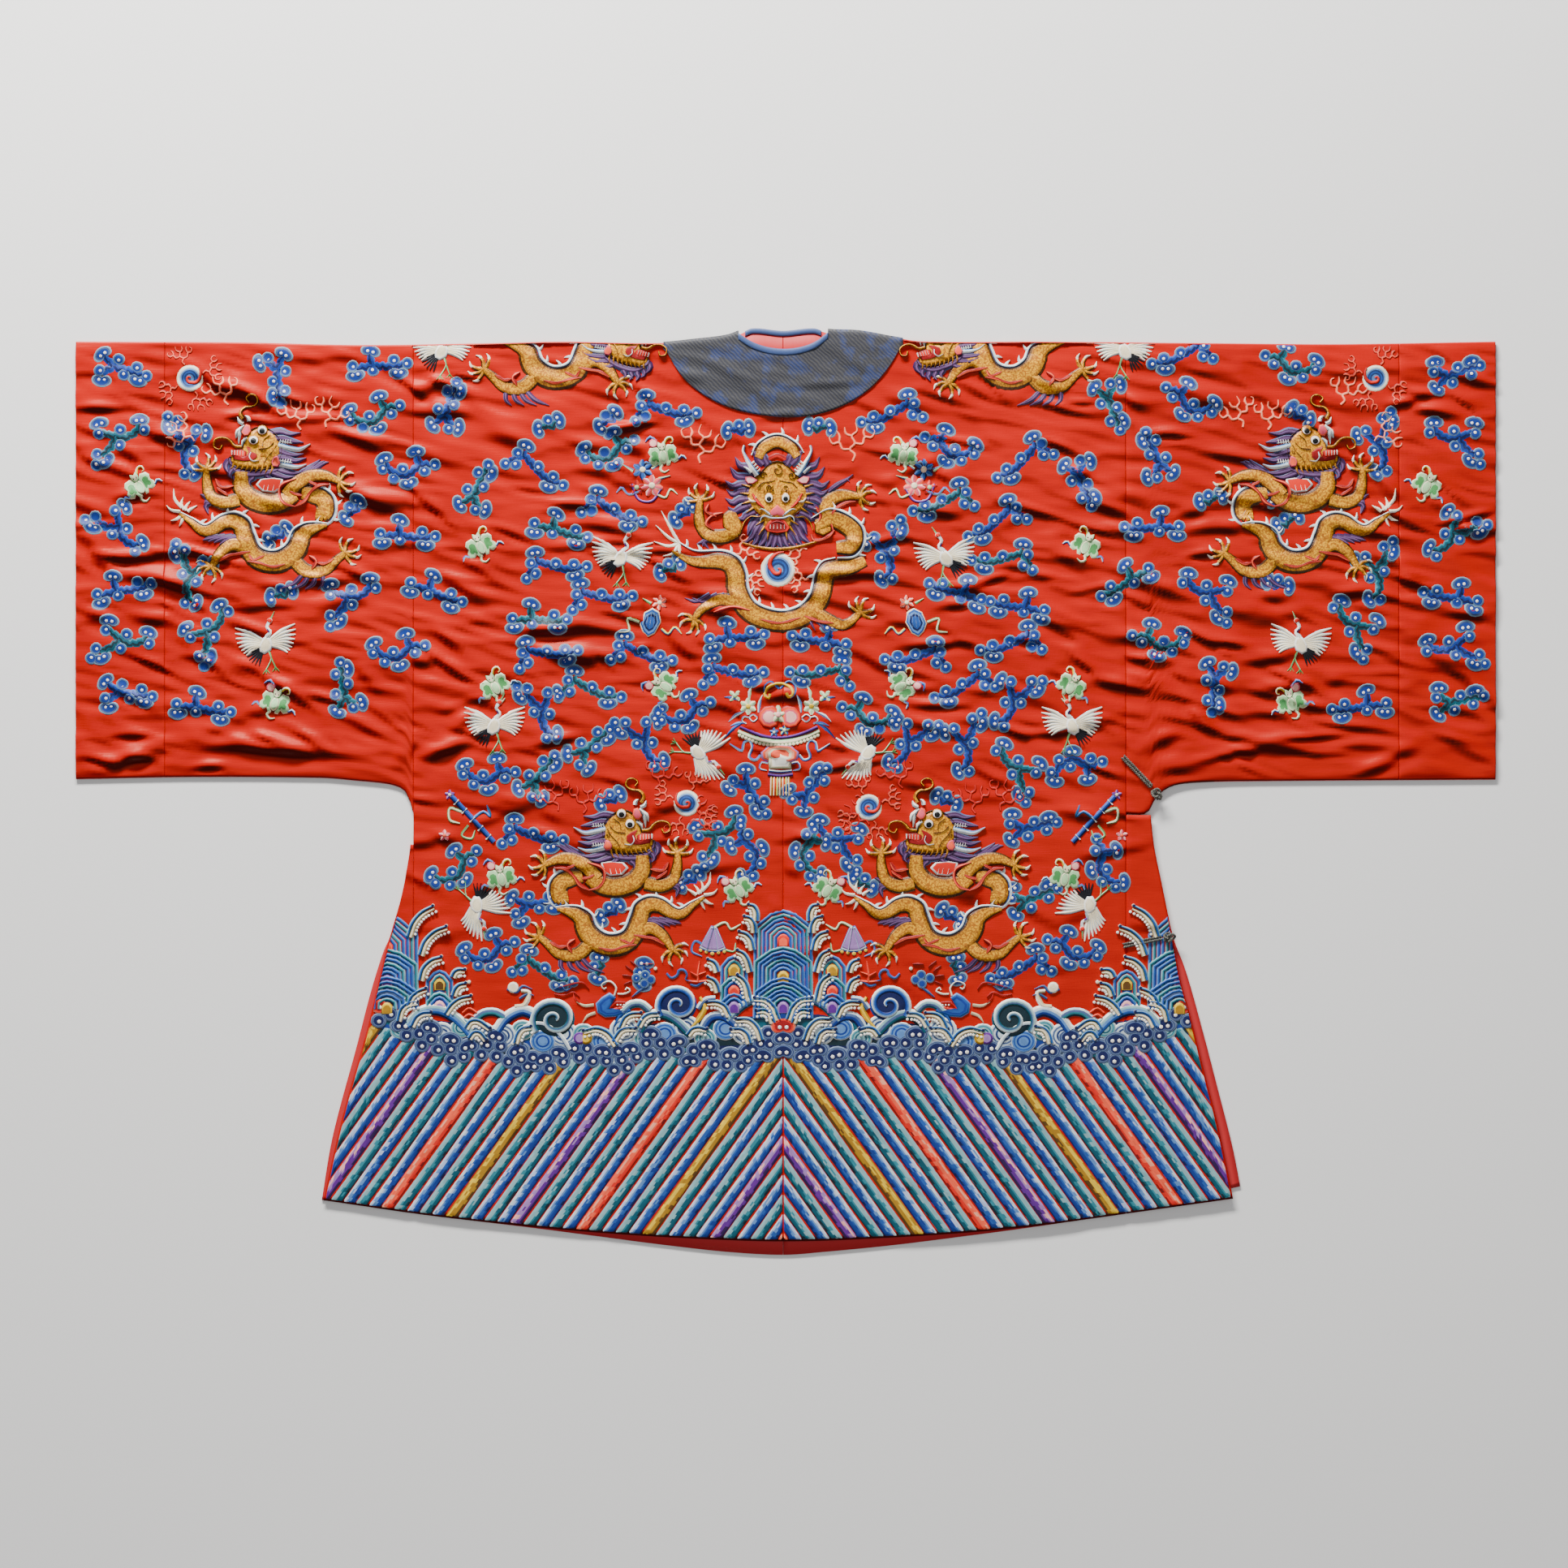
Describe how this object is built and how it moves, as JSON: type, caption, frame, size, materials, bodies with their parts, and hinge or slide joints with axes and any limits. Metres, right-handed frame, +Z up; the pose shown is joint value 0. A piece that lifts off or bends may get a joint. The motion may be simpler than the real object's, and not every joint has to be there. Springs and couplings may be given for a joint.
{
  "type": "robe",
  "caption": "Wide-sleeved silk robe laid flat on its front, back uppermost, with a round collar, side slits, a curved hem and a front overlap that fastens at the side.",
  "frame": {"origin": "middle of the bounding box in plan, on the surface that the robe lies on", "axes": "+X along the sleeves to the viewer's right, +Y from the hem to the collar, +Z up from the surface that the robe lies on"},
  "size_m": [1.678, 1.0954, 0.0145],
  "materials": {
    "satin": "embroidered silk satin, lined",
    "brocade": "woven silk brocade",
    "cord": "braided metal-thread cord"
  },
  "bodies": {
    "root": {"body_left": "satin", "body_right": "satin", "cuff_band_left": "satin", "sleeve_left": "satin", "sleeve_right": "satin", "cuff_band_right": "satin", "gore_back_left": "satin", "gore_front_left": "satin", "gore_back_right": "satin", "gore_inner_right": "satin", "gore_overlap_right": "satin", "overlap_front": "satin", "collar": "brocade", "neck_binding_back": "brocade", "neck_binding_front": "brocade", "toggle_strap_upper": "cord", "toggle_knot_upper": "cord", "toggle_strap_lower": "cord", "toggle_knot_lower": "cord"}
  },
  "joints": []
}
